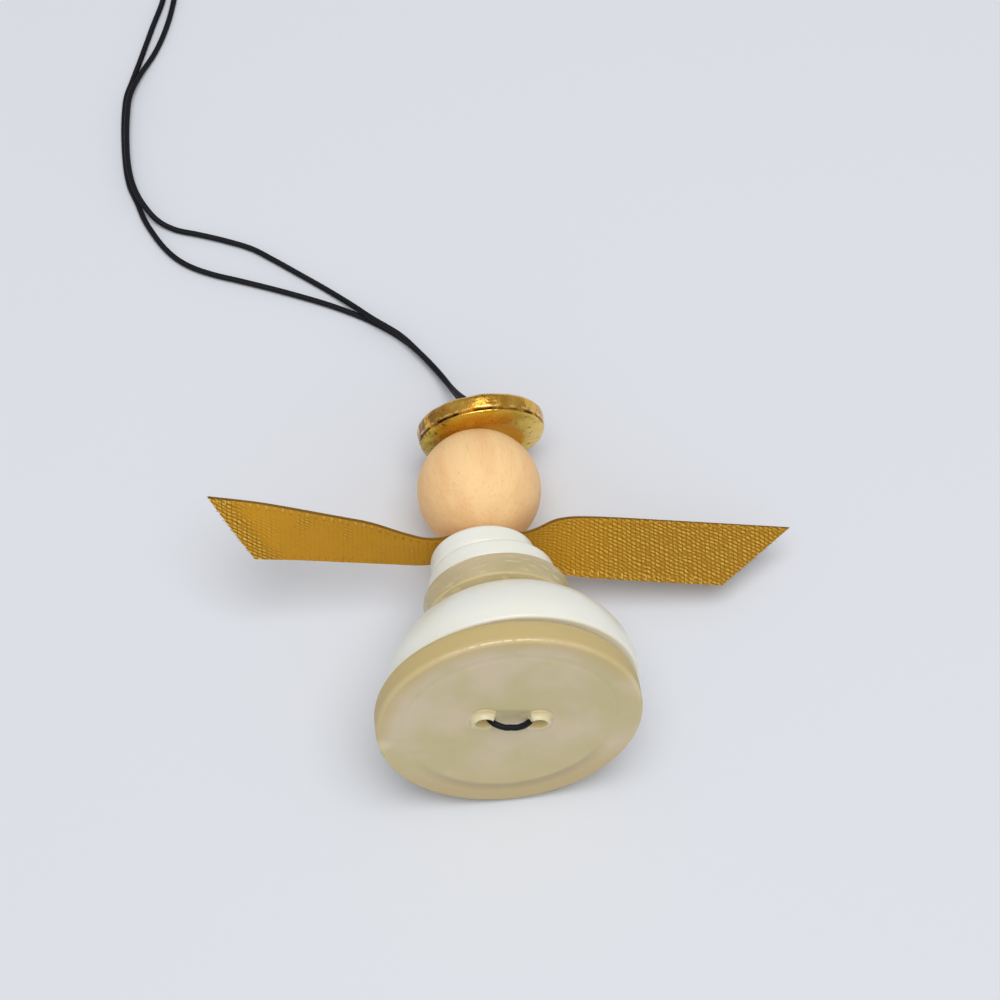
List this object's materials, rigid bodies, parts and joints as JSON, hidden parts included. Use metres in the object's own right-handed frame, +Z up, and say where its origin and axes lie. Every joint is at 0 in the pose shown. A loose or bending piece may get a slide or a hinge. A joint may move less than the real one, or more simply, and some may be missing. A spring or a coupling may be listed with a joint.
{
  "type": "button angel ornament",
  "caption": "Hanging angel ornament of stacked sew-through buttons on a folded cord, with ribbon wings, a wooden bead head and a gold disc halo, lying on its side.",
  "frame": {"origin": "on the table, under the middle of the angel's bounding box, the free cord left out", "axes": "+X to the right wing, +Y along the table from the base button to the halo, +Z up from the table"},
  "size_m": [0.0727, 0.1344, 0.0282],
  "materials": {
    "horn_resin": "translucent horn-coloured resin, satin gloss",
    "white_resin": "white resin, soft gloss",
    "gold_ribbon": "woven satin ribbon, mustard gold",
    "pale_wood": "plain sanded pale wood",
    "antique_gold": "worn antique gold, dark in the hollows",
    "navy_cord": "round waxed navy-black cord"
  },
  "bodies": {
    "cord_and_base": {"base_button": "horn_resin", "cord_core": "navy_cord", "stop_knot": "navy_cord", "cord_strand_right": "navy_cord", "cord_strand_left": "navy_cord", "end_knot": "navy_cord"},
    "skirt": {"skirt_button": "white_resin"},
    "waist": {"waist_button": "horn_resin"},
    "lower_bodice": {"lower_bodice_button": "white_resin"},
    "upper_bodice": {"upper_bodice_button": "white_resin"},
    "wings": {"ribbon_wings": "gold_ribbon"},
    "head": {"head_bead": "pale_wood"},
    "halo": {"halo": "antique_gold"}
  },
  "joints": [
    {"name": "skirt_turn", "type": "hinge", "parent": "cord_and_base", "child": "skirt", "pos_m": [-0.00156, -0.01564, 0.01368], "axis": [0, 0.9822, -0.1876], "range_deg": [-8, 8]},
    {"name": "waist_turn", "type": "hinge", "parent": "cord_and_base", "child": "waist", "pos_m": [-0.00201, -0.00572, 0.01179], "axis": [0, 0.9822, -0.1876], "range_deg": [-12, 12]},
    {"name": "lower_bodice_turn", "type": "hinge", "parent": "cord_and_base", "child": "lower_bodice", "pos_m": [-0.00221, -0.00238, 0.01115], "axis": [0, 0.9822, -0.1876], "range_deg": [-12, 12]},
    {"name": "upper_bodice_turn", "type": "hinge", "parent": "cord_and_base", "child": "upper_bodice", "pos_m": [-0.00291, 0.00027, 0.01064], "axis": [0, 0.9822, -0.1876], "range_deg": [-10, 10]},
    {"name": "wings_swivel", "type": "hinge", "parent": "cord_and_base", "child": "wings", "pos_m": [-0.00226, 0.00486, 0.00976], "axis": [0, 0.9822, -0.1876], "range_deg": [-25, 5]},
    {"name": "head_spin", "type": "hinge", "parent": "cord_and_base", "child": "head", "pos_m": [-0.00226, 0.01204, 0.00839], "axis": [0, 0.9822, -0.1876], "continuous": true},
    {"name": "halo_spin", "type": "hinge", "parent": "cord_and_base", "child": "halo", "pos_m": [-0.00126, 0.01877, 0.00711], "axis": [-0.0657, 0.9951, 0.0734], "continuous": true}
  ]
}
